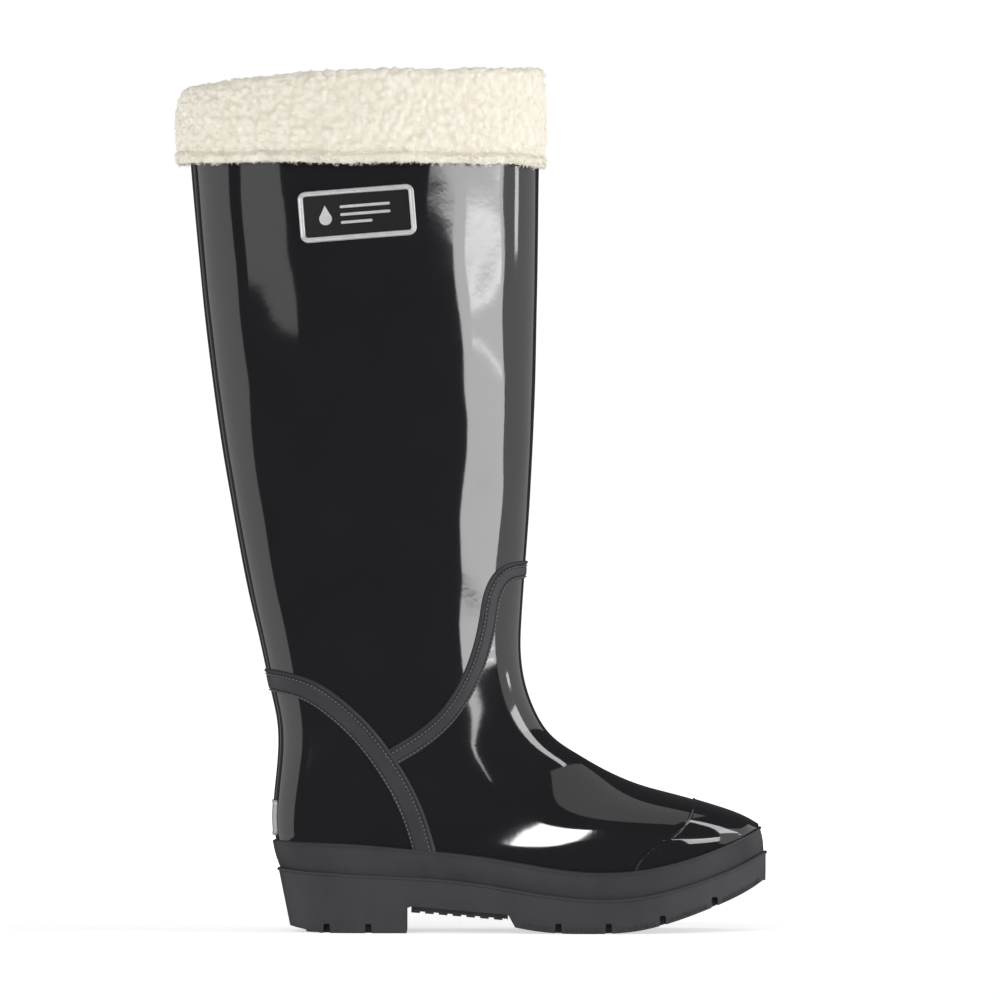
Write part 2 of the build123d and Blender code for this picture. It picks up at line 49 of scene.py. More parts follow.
# ---- the upper's skin --------------------------------------------------------------------------------
# Each row is one flat section of the upper: back x, back z, front x, front z, outer half width, inner half
# width, squareness of the back half and of the front half, and the share of a lift that pushes it forward.
SECTIONS = np.array([
    (-152.8, 444.0, 37.5, 453.0, 49.2, 49.2, 2.1, 2.1, 0.0),
    (-150.0, 410.0, 36.7, 415.0, 48.8, 48.8, 2.1, 2.1, 0.0),
    (-143.6, 340.5, 36.0, 341.5, 47.3, 47.3, 2.1, 2.1, 0.0),
    (-135.3, 275.0, 34.8, 276.0, 44.8, 44.8, 2.1, 2.1, 0.0),
    (-126.6, 221.0, 31.4, 223.0, 41.5, 41.5, 2.1, 2.1, 0.0),
    (-118.0, 178.0, 28.2, 182.0, 38.6, 38.6, 2.15, 2.1, 0.0),
    (-112.3, 154.0, 27.0, 162.5, 37.0, 37.0, 2.2, 2.1, 0.0),
    (-107.2, 131.5, 27.3, 148.5, 36.0, 36.0, 2.25, 2.1, 0.0),
    (-103.3, 112.5, 29.0, 137.0, 35.5, 35.3, 2.35, 2.1, 0.0),
    (-103.3, 92.3, 32.2, 126.0, 35.3, 35.0, 2.5, 2.05, 0.0),
    (-105.2, 73.0, 36.6, 116.0, 35.1, 34.5, 2.6, 2.0, 0.0),
    (-105.4, 54.5, 42.2, 107.6, 34.6, 33.8, 2.7, 2.0, 0.0),
    (-100.6, 37.8, 49.3, 101.2, 33.6, 32.2, 2.8, 2.0, 0.0),
    (-87.5, 27.6, 57.8, 95.8, 32.2, 29.6, 3.0, 2.0, 0.0),
    (-64.0, 24.0, 67.3, 90.2, 32.3, 27.8, 3.2, 2.0, 0.0),
    (-31.5, 22.0, 78.0, 84.7, 35.2, 28.8, 3.3, 2.0, 0.0),
    (5.4, 18.9, 89.6, 79.9, 40.0, 33.0, 3.3, 2.05, 0.0),
    (43.2, 14.8, 101.2, 76.4, 44.2, 39.2, 3.3, 2.1, 0.0),
    (75.6, 13.6, 113.4, 73.2, 44.8, 41.6, 3.3, 2.2, 0.0),
    (102.6, 16.3, 125.3, 69.8, 41.0, 40.2, 3.2, 2.3, 0.0),
    (122.6, 22.0, 136.1, 66.4, 34.6, 35.8, 3.1, 2.35, 0.25),
    (138.8, 29.5, 145.2, 63.0, 25.8, 29.2, 3.0, 2.4, 0.5),
    (148.6, 35.5, 151.6, 59.8, 16.8, 21.6, 2.8, 2.4, 0.8),
    (154.2, 39.5, 155.4, 57.4, 6.8, 13.0, 2.6, 2.4, 1.0),
])
# Side-view lines, from the back or from the front downwards, as corners x and z of a smooth curve.
COUNTER_SEAM = [(-118, 137), (-102, 134.8), (-87, 130.5), (-72, 120.8), (-56.5, 106), (-44.5, 90),
                (-34, 71.5), (-26, 50), (-20, 28)]
VAMP_SEAM = [(44, 195.4), (29, 195.2), (20, 192.8), (13.5, 184.5), (10, 169), (5.5, 150), (-3, 130),
             (-15, 113.5), (-30, 101.5), (-46, 92)]
TOE_SEAM = [(121.5, 78), (119.2, 68), (113.8, 57.3), (102.4, 49.2), (93, 42), (87.5, 33)]
FOXING_TOP = [(-115, 50.6), (-101, 49.4), (-64, 47.9), (-36, 45.6), (0, 42), (30, 37.4), (53, 33.9),
              (80, 33.2), (113, 38.8), (132, 45), (148, 51.7), (165, 60.5)]
RIDGE = [(-112, 35.4), (-80.5, 32.7), (-53, 31), (-22, 29.6), (0, 27.4), (23, 23.8), (53, 19.5), (76, 18.6),
         (95, 20.5), (120, 27), (141.5, 34.6), (157, 42), (166, 46.6)]
FOREFOOT_BOTTOM = [(24.3, 3.4), (42, 0.7), (66, 0), (88.6, 1.4), (104.8, 5), (129.6, 13.6), (146.9, 21),
                   (158, 27.4)]
FOREFOOT_NOTCHES = (47.5, 74.5, 103.5, 131.5)
# The sole seen from above, x and y, from the heel's middle along the outer side.
SOLE_OUTLINE = [(-103.4, 0), (-95, -22), (-72, -33), (-18, -35), (25, -42.2), (68, -47.6), (106, -44.6),
                (138, -30.5), (156, -9), (159.8, 8), (152, 25.5), (122, 40.5), (80, 44.5), (32, 35.5),
                (-18, 28.6), (-70, 32.5), (-94, 22)]
HEEL_SHIFT, SOLE_TAPER, SOLE_RISE = 7.0, 1.6, 34.0
PANEL_WALL = 2.5
COUNTER_BAND, VAMP_BAND = (12.0, 1.5), (9.6, 1.1)  # width and height
STRIP_HALF, STRIP_LIFT = 10.5, 0.7
STITCH_PITCH, STITCH_RADIUS = 2.3, 0.45
TOE_LIFT = 0.7
BADGE_CENTRE, BADGE_SIZE, BADGE_TILT = (-60.4, 386.2), (62.0, 27.6), math.radians(4.5)
BADGE_RIM = 2.95
HEM_HEIGHT = 5.2
WISPS = 5200
AROUND = 520.0  # the cuff's own girth, near enough for spacing the nubs
TUBE_DROP, TUBE_BOTTOM = 30.0, 170.5  # the liner tube's top below the leg's edge, and the height of its end


def natural_spline(knots, values, at):
    """The natural cubic spline through rows of values: a solve for its bending, then its cubic pieces."""
    gap = np.diff(knots)[:, None]
    slope = np.diff(values, axis=0) / gap
    count = len(knots)
    system, right = np.eye(count), np.zeros(values.shape)
    inner = np.arange(1, count - 1)
    system[inner, inner - 1], system[inner, inner + 1] = gap[:-1, 0], gap[1:, 0]
    system[inner, inner] = 2 * (gap[:-1, 0] + gap[1:, 0])
    right[1:-1] = 6 * np.diff(slope, axis=0)
    bend = np.linalg.solve(system, right)
    k = np.clip(np.searchsorted(knots, at) - 1, 0, count - 2)
    before, after = (at - knots[k])[..., None], (knots[k + 1] - at)[..., None]
    curve = (bend[k] * after**3 + bend[k + 1] * before**3) / (6 * gap[k])
    start = (values[k] / gap[k] - bend[k] * gap[k] / 6) * after
    return curve + start + (values[k + 1] / gap[k] - bend[k + 1] * gap[k] / 6) * before


def run_length(points):
    """Distance travelled along rows of points, from 0 at the first."""
    return np.concatenate([[0.0], np.cumsum(np.linalg.norm(np.diff(points, axis=0), axis=1))])


def evened(points, count):
    """The same run of points, evenly spaced."""
    length = run_length(points)
    even = np.linspace(0, length[-1], count)
    return np.stack([np.interp(even, length, points[:, i]) for i in range(3)], axis=1)


KNOTS = (run_length(SECTIONS[:, 0:2]) + run_length(SECTIONS[:, 2:4])) / 2
SOLE_END = KNOTS[-1]


def side_line(corners, count=400):
    """Evenly spaced points of the smooth side-view line through its corners."""
    corners = np.array(corners, float)
    knots = run_length(corners)
    return natural_spline(knots, corners, np.linspace(0, knots[-1], count))


def beside(line, gap):
    """The line moved along its left-hand normal."""
    step = np.gradient(line, axis=0)
    normal = np.stack([-step[:, 1], step[:, 0]], axis=1) / np.linalg.norm(step, axis=1)[:, None]
    return line + gap * normal


def moulding_waves(s, turn):
    """How far the thin shell wanders from its drawn shape: long, gentle sine waves along and round it."""
    leg = np.clip((345.0 - s) / 60.0, 0.0, 1.0)
    broad = 0.42 * np.sin(5 * turn + 1.6 * np.sin(s / 58.0)) * np.sin(s / 64.0 + 0.9)
    short = 0.10 * np.sin(11 * turn + 1.2 * np.sin(s / 17.0)) * np.cos(s / 31.0)
    return leg * (broad + short + 0.2 * np.sin(s / 47.0 + np.cos(2 * turn)))


def skin(s, turn, lift=0.0, waves=1.0):
    """Points of the upper, in millimetres. A section's chord and half widths come from the spline at s. At
    angle turn the outline is a superellipse, cosine along the chord and sine across it, moved out by lift."""
    s, turn, lift = np.broadcast_arrays(np.asarray(s, float), turn, lift)
    row = natural_spline(KNOTS, SECTIONS, s)
    back, front = row[..., 0:2], row[..., 2:4]
    middle, chord = (back + front) / 2, front - back
    length = np.linalg.norm(chord, axis=-1)
    outer, inner, square_back, square_front, share = (row[..., i] for i in range(4, 9))
    square = square_back + (square_front - square_back) * (1 + np.cos(turn)) / 2
    swell = (np.abs(np.cos(turn)) ** square + np.abs(np.sin(turn)) ** square) ** (-1 / square)
    lift = lift + waves * moulding_waves(s, turn)
    along = (length / 2 + lift) * swell * np.cos(turn) / length
    across = (inner - outer) / 2 + ((inner + outer) / 2 + lift) * swell * np.sin(turn)
    x = middle[..., 0] + along * chord[..., 0] + lift * share
    z = middle[..., 1] + along * chord[..., 1]
    return np.stack([x, across, z], axis=-1)


FAN = np.linspace(0, SOLE_END, 1400)
FAN_ROWS = natural_spline(KNOTS, SECTIONS, FAN)


def find_on_skin(points):
    """Where side-view points lie on the skin: s of the flat section that passes through each, found as the
    first whose chord has sunk below the point, and how far along that chord it is, from -1 at the back to 1
    in front. A point past the toe's last section isn't reached by any."""
    back, chord = FAN_ROWS[:, 0:2], FAN_ROWS[:, 2:4] - FAN_ROWS[:, 0:2]
    away_x, away_z = points[:, 0] - back[:, 0, None], points[:, 1] - back[:, 1, None]
    rise = chord[:, 0, None] * away_z - chord[:, 1, None] * away_x
    reached = (rise >= 0).any(axis=0)
    k = np.where(reached, np.clip(np.argmax(rise >= 0, axis=0), 1, None), len(FAN) - 1)
    column = np.arange(len(points))
    low, high = rise[k - 1, column], rise[k, column]
    share = np.where(reached, np.clip(low / (low - high), 0, 1), 1.0)
    s = FAN[k - 1] + share * (FAN[k] - FAN[k - 1])
    row = natural_spline(KNOTS, SECTIONS, s)
    middle, along = (row[:, 0:2] + row[:, 2:4]) / 2, row[:, 2:4] - row[:, 0:2]
    place = 2 * ((points - middle) * along).sum(axis=1) / (along**2).sum(axis=1)
    return s, place, row, reached


def turn_at(place, row, side):
    """The angle round a section at a place along its chord, on the outer side (-1) or the inner side (1)."""
    place = np.clip(place, -1, 1)
    square = row[..., 6] + (row[..., 7] - row[..., 6]) * (1 + place) / 2
    return np.arctan2(side * (1 - np.abs(place) ** square) ** (1 / square), place)


def lay(points, side, lift):
    """Side-view points put on the skin, on one side of the boot."""
    s, place, row, _ = find_on_skin(points)
    return skin(s, turn_at(place, row, side), lift)


def strand(line, gap, side, lift, count):
    """Evenly spaced points on the skin along a side-view line moved sideways by gap. It starts exactly on the
    boot's front or back edge, where the line leaves the skin, and its samples crowd there as a square."""
    path = beside(line, gap)
    _, place, _, reached = find_on_skin(path)
    off = np.nonzero((np.abs(place) >= 1) | ~reached)[0]
    first = int(np.max(off[off < len(path) // 2], initial=-1))
    start = first + 1.0
    if first >= 0 and reached[first]:
        a, b = abs(place[first]), abs(place[first + 1])
        start = first + (a - 1) / (a - b)
    at = start + (len(path) - 1 - start) * np.linspace(0, 1, 900) ** 2
    samples = np.stack([np.interp(at, np.arange(len(path)), path[:, i]) for i in (0, 1)], axis=1)
    return evened(lay(samples, side, lift), count)


def round_strand(line, gap, lift, count):
    """The same line on both sides of the boot, as one run of points from the inner side to the outer side."""
    inner, outer = (strand(line, gap, side, lift, count) for side in (1, -1))
    return np.concatenate([inner[:0:-1], outer])


# ---- meshes ------------------------------------------------------------------------------------------
def make_piece(name, points, faces, body, slot, replaces=(), finish=None):
    """One piece from points in millimetres and rows of corner numbers; unused points are left out."""
    used, faces = np.unique(faces, return_inverse=True)
    faces = faces.reshape(-1, 4)
    points = np.asarray(points, float).reshape(-1, 3)[used] * 0.001
    mesh = bpy.data.meshes.new(name)
    mesh.vertices.add(len(points))
    mesh.vertices.foreach_set("co", points.ravel())
    mesh.loops.add(faces.size)
    mesh.loops.foreach_set("vertex_index", faces.ravel().astype(np.int32))
    mesh.polygons.add(len(faces))
    mesh.polygons.foreach_set("loop_start", np.arange(0, faces.size, 4, dtype=np.int32))
    mesh.polygons.foreach_set("use_smooth", np.full(len(faces), True))
    mesh.update(calc_edges=True)
    piece = bpy.data.objects.new(name, mesh)
    bpy.context.scene.collection.objects.link(piece)
    mesh.materials.append(FINISHES[finish or slot])
    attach(piece, body)
    if replaces:
        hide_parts(*replaces)
    return piece, used


def quads(rows, columns, wrap_rows=False, wrap_columns=False, flip=False):
    """Corner numbers of the faces between neighbouring points of a grid, optionally joined end to end."""
    index = np.arange(rows * columns).reshape(rows, columns)
    if wrap_rows:
        index = np.vstack([index, index[:1]])
    if wrap_columns:
        index = np.hstack([index, index[:, :1]])
    corners = [index[:-1, :-1], index[1:, :-1], index[1:, 1:], index[:-1, 1:]]
    if flip:
        corners = corners[::-1]
    return np.stack(corners, axis=-1)


def thicken(piece, depth):
    """A wall of that depth in millimetres, built inwards from the shown surface."""
    wall = piece.modifiers.new("wall", "SOLIDIFY")
    wall.thickness, wall.offset, wall.use_even_offset = depth * 0.001, -1, True


def inside_outline(outline, x, z):
    """Which points lie inside a closed side-view outline: an odd number of its edges pass to their right."""
    a, b = outline, np.roll(outline, -1, axis=0)
    crossing = (a[:, 1, None] > z) != (b[:, 1, None] > z)
    rise = np.where(b[:, 1] == a[:, 1], 1e-9, b[:, 1] - a[:, 1])
    reach = a[:, 0, None] + (z - a[:, 1, None]) * ((b[:, 0] - a[:, 0]) / rise)[:, None]
    return (crossing & (x < reach)).sum(axis=0) % 2 == 1


def repeated(base_points, base_faces, places, axes, sizes):
    """Copies of a small shape: its three coordinates go along three axes at each place, scaled by sizes."""
    count, corners = len(places), len(base_points)
    moved = np.einsum("nk,ck,nkd->ncd", sizes, base_points, axes) + places[:, None, :]
    faces = base_faces[None] + corners * np.arange(count)[:, None, None]
    return moved.reshape(-1, 3), faces.reshape(-1, 4)


def rounded_rod():
    """A six-sided rod with rounded ends along x, half length and radius 1: radius is the root of 1 - x**4."""
    sides, rings = 6, 5
    x = np.cos(np.linspace(0, math.pi, rings + 2))[1:-1]
    radius = (1 - x**4) ** 0.5
    angle = np.arange(sides) * TAU / sides
    y, z = np.outer(radius, np.cos(angle)), np.outer(radius, np.sin(angle))
    points = np.stack([np.repeat(x, sides), y.ravel(), z.ravel()], axis=1)
    first = np.array([(0, 1, 2, 3), (0, 3, 4, 5)])
    last = first[:, ::-1] + (rings - 1) * sides
    return points, np.vstack([quads(rings, sides, wrap_columns=True).reshape(-1, 4), first, last])


def frames_along(points):
    """Unit axes at each point of a run: forward along it, and two across it."""
    forward = np.gradient(points, axis=0)
    forward /= np.linalg.norm(forward, axis=1)[:, None]
    up = np.cross(forward, [0.31, 0.52, 0.79])
    up /= np.linalg.norm(up, axis=1)[:, None]
    return np.stack([forward, up, np.cross(forward, up)], axis=1)


# ---- finishes ----------------------------------------------------------------------------------------
FINISHES = {}


class Wire:
    """A shader socket that arithmetic works on; each operator adds one Math node."""

    def __init__(self, finish, socket):
        self.finish, self.socket = finish, socket

    def math(self, operation, first, second=0.0, third=0.0):
        return self.finish.node("Math", {"operation": operation}, {0: first, 1: second, 2: third})

    def __add__(self, other):
        return self.math("ADD", self, other)

    def __sub__(self, other):
        return self.math("SUBTRACT", self, other)

    def __rsub__(self, other):
        return self.math("SUBTRACT", other, self)

    def __mul__(self, other):
        return self.math("MULTIPLY", self, other)

    def __truediv__(self, other):
        return self.math("DIVIDE", self, other)

    def __pow__(self, other):
        return self.math("POWER", self, other)

    __radd__, __rmul__ = __add__, __mul__


class Finish:
    """A material of shader nodes on the standard shader, whose unchanging sockets are given as words."""

    def __init__(self, slot, **fixed):
        self.material = bpy.data.materials.new("finish_" + slot)
        self.material.use_nodes = True
        self.tree = self.material.node_tree
        self.shader = self.tree.nodes["Principled BSDF"]
        for name, value in fixed.items():
            self.shader.inputs[name.replace("_", " ")].default_value = value
        FINISHES[slot] = self.material
        self.place = self.node("TexCoord", {}, {}, "Object")

    def node(self, kind, settings, inputs, output=0):
        node = self.tree.nodes.new("ShaderNode" + kind)
        for name, value in settings.items():
            setattr(node, name, value)
        for name, value in inputs.items():
            self.plug(node.inputs[name], value)
        return Wire(self, node.outputs[output])

    def plug(self, socket, value):
        if isinstance(value, Wire):
            self.tree.links.new(value.socket, socket)
        else:
            socket.default_value = value

    def noise(self, size, detail=2.0, roughness=0.5):
        """Cloudy noise whose lumps are about size millimetres across."""
        inputs = {"Vector": self.place, "Scale": 1000.0 / size, "Detail": detail, "Roughness": roughness}
        return self.node("TexNoise", {}, inputs)

    def cells(self, size):
        """Distance from the nearest of scattered points about size millimetres apart."""
        return self.node("TexVoronoi", {"feature": "F1"}, {"Vector": self.place, "Scale": 1000.0 / size})

    def mix(self, amount, dark, light):
        """A colour between dark and light."""
        return self.node("Mix", {"data_type": "RGBA"}, {0: amount, 6: dark, 7: light}, 2)

    def bump(self, height, depth):
        """Relief of depth millimetres on the shading only."""
        bump = self.node("Bump", {}, {"Height": height, "Distance": depth * 0.001})
        self.plug(self.shader.inputs["Normal"], bump)

    def base(self, value):
        self.plug(self.shader.inputs["Base Color"], value)

    def rough(self, value):
        self.plug(self.shader.inputs["Roughness"], value)


def gray(value, cool=0.0):
    """A gray colour, a little blue where cool is above 0."""
    return (value, value * (1 - cool / 3), value * (1 + cool), 1.0)


def make_hard_finishes():
    """The gloss shell, the matte rubber parts, the stitches' lighter trim as a painted highlight, and the
    badges.
    """
    shell = Finish("gloss_shell", IOR=1.52, Specular_IOR_Level=1.0)
    shell.base(shell.mix(shell.noise(40, 1), (0.0085, 0.0082, 0.0095, 1), (0.012, 0.0115, 0.013, 1)))
    shell.rough(0.045 + 0.03 * shell.noise(9, 3))
    shell.bump(shell.noise(22, 1) + 0.12 * shell.noise(3.0, 1), 0.05)

    # The stitch finish is the trim's own material painted almost four times lighter: a painted highlight on
    # the moulded stitches.
    matte = (("matte_trim", 0.036, 0.42), ("sole_rubber", 0.042, 0.47), ("stitch_highlight", 0.13, 0.35))
    for slot, tone, rough in matte:
        trim = Finish(slot, IOR=1.5)
        grain = trim.noise(0.55, 2, 0.6)
        trim.base(trim.mix(trim.noise(14, 4), gray(tone * 0.8, 0.1), gray(tone * 1.25, 0.1)))
        trim.rough(rough + 0.14 * grain)
        trim.bump(grain + 0.5 * trim.noise(2.2, 2), 0.09)

    silver = Finish("badge_silver", Metallic=0.55, IOR=1.5)
    silver.base(silver.mix(silver.noise(2.5, 3), gray(0.72), gray(0.93)))
    silver.rough(0.26 + 0.2 * silver.noise(1.1, 2))
    silver.bump(silver.noise(0.5, 1), 0.03)

    field = Finish("badge_black", IOR=1.5)
    field.base(field.mix(field.noise(1.2, 2), gray(0.008), gray(0.016)))
    field.rough(0.3 + 0.15 * field.noise(0.8, 1))
    field.bump(field.noise(0.4, 1), 0.03)


def make_soft_finishes():
    """The textile, board, foam and fleece; the fleece and pile carry painted shade, darker where they stand
    low.
    """
    knit = Finish("knit", IOR=1.4)
    ribs = {"Vector": knit.place, "Scale": 300.0, "Distortion": 1.0}
    wales = knit.node("TexWave", {"bands_direction": "Z"}, ribs)
    knit.base(knit.mix(wales, gray(0.02), gray(0.05)))
    knit.rough(0.85 + 0.1 * knit.noise(2))
    knit.bump(wales + knit.noise(0.5), 0.2)

    board = Finish("board", IOR=1.4)
    board.base(board.mix(board.noise(1.5, 4), (0.24, 0.17, 0.1, 1), (0.42, 0.33, 0.22, 1)))
    board.rough(0.8 + 0.1 * board.noise(3))
    board.bump(board.noise(0.6, 3), 0.15)

    foam = Finish("foam", IOR=1.4)
    foam.base(foam.mix(foam.cells(0.8), gray(0.12), gray(0.22)))
    foam.rough(0.8 + 0.1 * foam.noise(3))
    foam.bump(foam.cells(0.8), 0.15)

    fleece = Finish("fleece", IOR=1.4, Sheen_Weight=0.35, Sheen_Roughness=0.6)
    # The colour shares the curls noise with the bump, so the bump's hollows get the dark end: painted shade
    # in the crevices, over a random tone from the broad noise.
    curls = fleece.noise(0.9, 3, 0.65)
    tone = 0.35 * fleece.noise(5, 3) + 0.65 * curls
    fleece.base(fleece.mix(tone, (0.80, 0.72, 0.56, 1), (0.93, 0.89, 0.79, 1)))
    fleece.rough(0.82 + 0.15 * curls)
    fleece.bump(curls + 0.6 * fleece.cells(1.4), 0.5)

    pile = Finish("pile", IOR=1.4, Sheen_Weight=0.35, Sheen_Roughness=0.6)
    # Painted shade in the crevices: the stored heights darken low points, and the curls noise shared with the
    # bump darkens its hollows; the broad noise is a random tone.
    depth = pile.node("Attribute", {"attribute_name": "painted_crevice_shade"}, {}, "Fac")
    curls = pile.noise(0.8, 3, 0.65)
    tone = 0.72 * depth + 0.22 * curls + 0.12 * pile.noise(7, 2)
    pile.base(pile.mix(tone, (0.80, 0.72, 0.55, 1), (0.95, 0.925, 0.84, 1)))
    pile.rough(0.82 + 0.15 * curls)
    pile.bump(curls, 0.35)


# ---- gloss panels ------------------------------------------------------------------------------------
def make_panels():
    """The leg, the vamp and the heel counter are one skin, shared out where the bands cover the joins."""
    s, turn = np.linspace(0, SOLE_END, 250), np.arange(300) * TAU / 300
    grid = skin(s[:, None], turn[None, :])
    faces = quads(*grid.shape[:2], wrap_columns=True)
    centre = grid.reshape(-1, 3)[faces].mean(axis=2)
    x, z = centre[..., 0].ravel(), centre[..., 2].ravel()
    counter = np.vstack([side_line(COUNTER_SEAM), [(-20, -20), (-200, -20), (-200, 137)]])
    tongue = np.vstack([side_line(VAMP_SEAM), [(-46, -20), (200, -20), (200, 195.4)]])
    in_counter = inside_outline(counter, x, z).reshape(faces.shape[:2])
    in_vamp = inside_outline(tongue, x, z).reshape(faces.shape[:2]) & ~in_counter
    shares = {"leg_shaft": ~in_counter & ~in_vamp, "vamp": in_vamp, "heel_counter": in_counter}
    for name, keep in shares.items():
        piece, _ = make_piece(name + "_gloss", grid, faces[keep], "boot", "gloss_shell", [name])
        thicken(piece, PANEL_WALL)


def edge_profile(place, height, sharp=8.0, sink=0.35):
    """A raised layer's height across its width: full in the middle, and rounded off at its edges, place -1
    and 1, which end sink below the skin."""
    return height * (1 - np.abs(place) ** sharp) ** 0.5 - sink * np.abs(place) ** 40


def make_toe_cap():
    """The layer over the toe: at each angle it starts where the skin crosses the toe seam and runs to the
    toe's end. A low bead follows its edge."""
    turn = np.linspace(-2.35, 2.35, 320)
    s = np.linspace(400, SOLE_END, 500)
    grid = skin(s[:, None], turn[None, :])
    seam = np.vstack([side_line(TOE_SEAM), [(87.5, -50), (300, -50), (300, 78)]])
    ahead = inside_outline(seam, grid[..., 0].ravel(), grid[..., 2].ravel()).reshape(grid.shape[:2])
    start = s[np.argmax(ahead, axis=0)]
    start = np.convolve(np.pad(start, 6, mode="edge"), np.ones(13) / 13, mode="valid")
    along = np.linspace(0, 1, 90) ** 1.5
    rows = start[None, :] + (SOLE_END - start)[None, :] * along[:, None]
    run = rows - start[None, :]
    step = (TOE_LIFT - 0.2) * (1 - np.exp(-((run / 0.45) ** 2)))
    bead = 0.55 * np.exp(-(((run - 1.0) / 0.75) ** 2))
    cap = skin(rows, turn[None, :], step + bead - 0.1)
    make_piece("toe_cap_gloss", cap, quads(*rows.shape), "boot", "gloss_shell", ["toe_cap"])


def make_back_strips():
    """Thin strips up the middle of the back: at each s the angle comes from the strip's sideways place."""
    across = np.linspace(-1, 1, 41)
    fine = np.linspace(0, 420, 600)
    depth = -skin(fine, math.pi)[:, 2]
    for name, high, low in (("leg_back_strip", None, 141.0), ("heel_back_strip", 131.0, 71.3)):
        first = 0.0 if high is None else np.interp(-high, depth, fine)
        s = np.linspace(first, np.interp(-low, depth, fine), 160)
        row = natural_spline(KNOTS, SECTIONS, s)
        half = (row[:, 4] + row[:, 5]) / 2
        place = across[None, :] * STRIP_HALF / half[:, None]
        square = row[:, 6, None]
        turn = np.arctan2(place, -((1 - np.abs(place) ** square) ** (1 / square)))
        points = skin(s[:, None], turn, edge_profile(across, STRIP_LIFT, 14)[None, :])
        make_piece(name + "_gloss", points, quads(*turn.shape, flip=True), "boot", "gloss_shell", [name])


# ---- matte bands and their moulded stitches ----------------------------------------------------------
def make_band(name, seam, size, upper, rows_of_stitches):
    """A band along a side-view line, right round the boot. Its height across it is a rounded plateau with a
    raised bead on its upper edge, which is on the line's left (1) or right (-1), and a groove under each row
    of stitches."""
    width, height = size
    place = np.sin(np.linspace(-1, 1, 61) * math.pi / 2)
    across = place * width / 2
    from_edge = upper * across - width / 2
    lift = edge_profile(place, height - 0.1, 12) + 0.5 * np.exp(-(((from_edge + 0.85) / 0.55) ** 2))
    for row in rows_of_stitches:
        lift = lift - 0.8 * np.exp(-(((across - row) / 0.7) ** 2))
    line = side_line(seam)
    grid = np.stack([round_strand(line, gap, h, 200) for gap, h in zip(across, lift)])
    make_piece(name + "_moulded", grid, quads(*grid.shape[:2], flip=True), "boot", "matte_trim", [name])
    places, axes = [], []
    for row in rows_of_stitches:
        run = round_strand(line, row, height - 0.25, 900)
        length = run_length(run)
        even = np.arange(1.2, length[-1] - 1.2, STITCH_PITCH)
        places.append(np.stack([np.interp(even, length, run[:, i]) for i in range(3)], axis=1))
        axes.append(frames_along(places[-1]))
    places, axes = np.concatenate(places), np.concatenate(axes)
    sizes = np.tile([0.34 * STITCH_PITCH, STITCH_RADIUS, STITCH_RADIUS], (len(places), 1))
    points, faces = repeated(*rounded_rod(), places, axes, sizes)
    # The stitches take the trim's material painted lighter, a painted highlight.
    make_piece(name + "_stitches", points, faces, "boot", "matte_trim", finish="stitch_highlight")


# ---- the sole ----------------------------------------------------------------------------------------
def outline_line():
    """The sole's outline from above as one closed smooth line: a natural spline through three laps of its
    corners, of which the middle lap is kept."""
    laps = np.array(SOLE_OUTLINE * 3 + SOLE_OUTLINE[:1], float)
    knots = run_length(laps)
    first, last = knots[len(SOLE_OUTLINE)], knots[2 * len(SOLE_OUTLINE)]
    return natural_spline(knots, laps, np.linspace(first, last, 2001))


def sole_wall(height_at, inset):
    """The sole's wall as points round it: the outline drawn in by inset, at the height that its x gives, with
    the heel's flare and the wall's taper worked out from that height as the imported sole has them."""
    outline = outline_line()
    step = np.gradient(outline, axis=0)
    normal = np.stack([-step[:, 1], step[:, 0]], axis=1) / np.linalg.norm(step, axis=1)[:, None]
    x, y = (outline + inset * normal).T
    z = height_at(x)
    heelward = np.clip((x + 20.0) / (x.min() + 20.0), 0, None)
    taper = SOLE_TAPER * np.clip((SOLE_RISE - z) / (SOLE_RISE + 2), 0, 1)
    x = x + HEEL_SHIFT * (SOLE_RISE - z) / SOLE_RISE * heelward - 0.4 * taper * np.clip(x / 160, 0, None)
    return np.stack([x, y * (1 - taper / 46), z], axis=1)


def halves(ring, toe_y):
    """A ring round the foot, resampled so that the heel's middle, the outer side, the toe's middle and the
    inner side fall on the same numbers in every ring."""
    front = np.nonzero(ring[:, 0] > 100)[0]
    toe = front[np.argmin(np.abs(ring[front, 1] - toe_y))]
    return np.concatenate([evened(ring[: toe + 1], 300)[:-1], evened(ring[toe:], 300)[:-1]])


def ridge_height(x):
    """Height of the sole's upper edge."""
    ridge = side_line(RIDGE)
    return np.interp(x, ridge[:, 0], ridge[:, 1])


def upper_ring(seam, gap, lift, toe_y):
    """A side-view line that runs from heel to toe, carried right round the upper."""
    line = side_line(seam)
    rear, fore = line[: len(line) // 2 + 1], line[len(line) // 2:][::-1]
    sides = []
    for side in (-1, 1):
        back_half, front_half = strand(rear, gap, side, lift, 400), strand(fore, -gap, side, lift, 400)
        sides.append(np.concatenate([back_half, front_half[::-1]]))
    return halves(np.concatenate([sides[0], sides[1][::-1]]), toe_y)


def make_foxing():
    """The matte band above the sole: a wall from the sole's lip up to its rounded top edge on the upper."""
    foot = halves(sole_wall(lambda x: ridge_height(x) - 0.5, 1.2), 5.0)
    brow = upper_ring(FOXING_TOP, -1.0, 1.9, 3.0)
    share = np.linspace(0, 1, 9)[1:, None, None]
    bulge = 0.5 * np.sin(share * math.pi)
    outward = foot + (brow - foot) / 2 - np.array([25.0, 0, 40.0])
    outward /= np.linalg.norm(outward, axis=1)[:, None]
    rings = [foot[None], foot + share * (brow - foot) + bulge * outward]
    for gap, lift in ((-0.55, 2.05), (-0.2, 1.9), (0.0, 1.5), (0.05, 0.9), (0.05, -0.3)):
        rings.append(upper_ring(FOXING_TOP, gap, lift, 3.0)[None])
    grid = np.concatenate(rings)
    faces = quads(*grid.shape[:2], wrap_columns=True, flip=True)
    make_piece("foxing_band_moulded", grid, faces, "boot", "matte_trim", ["foxing_band"])


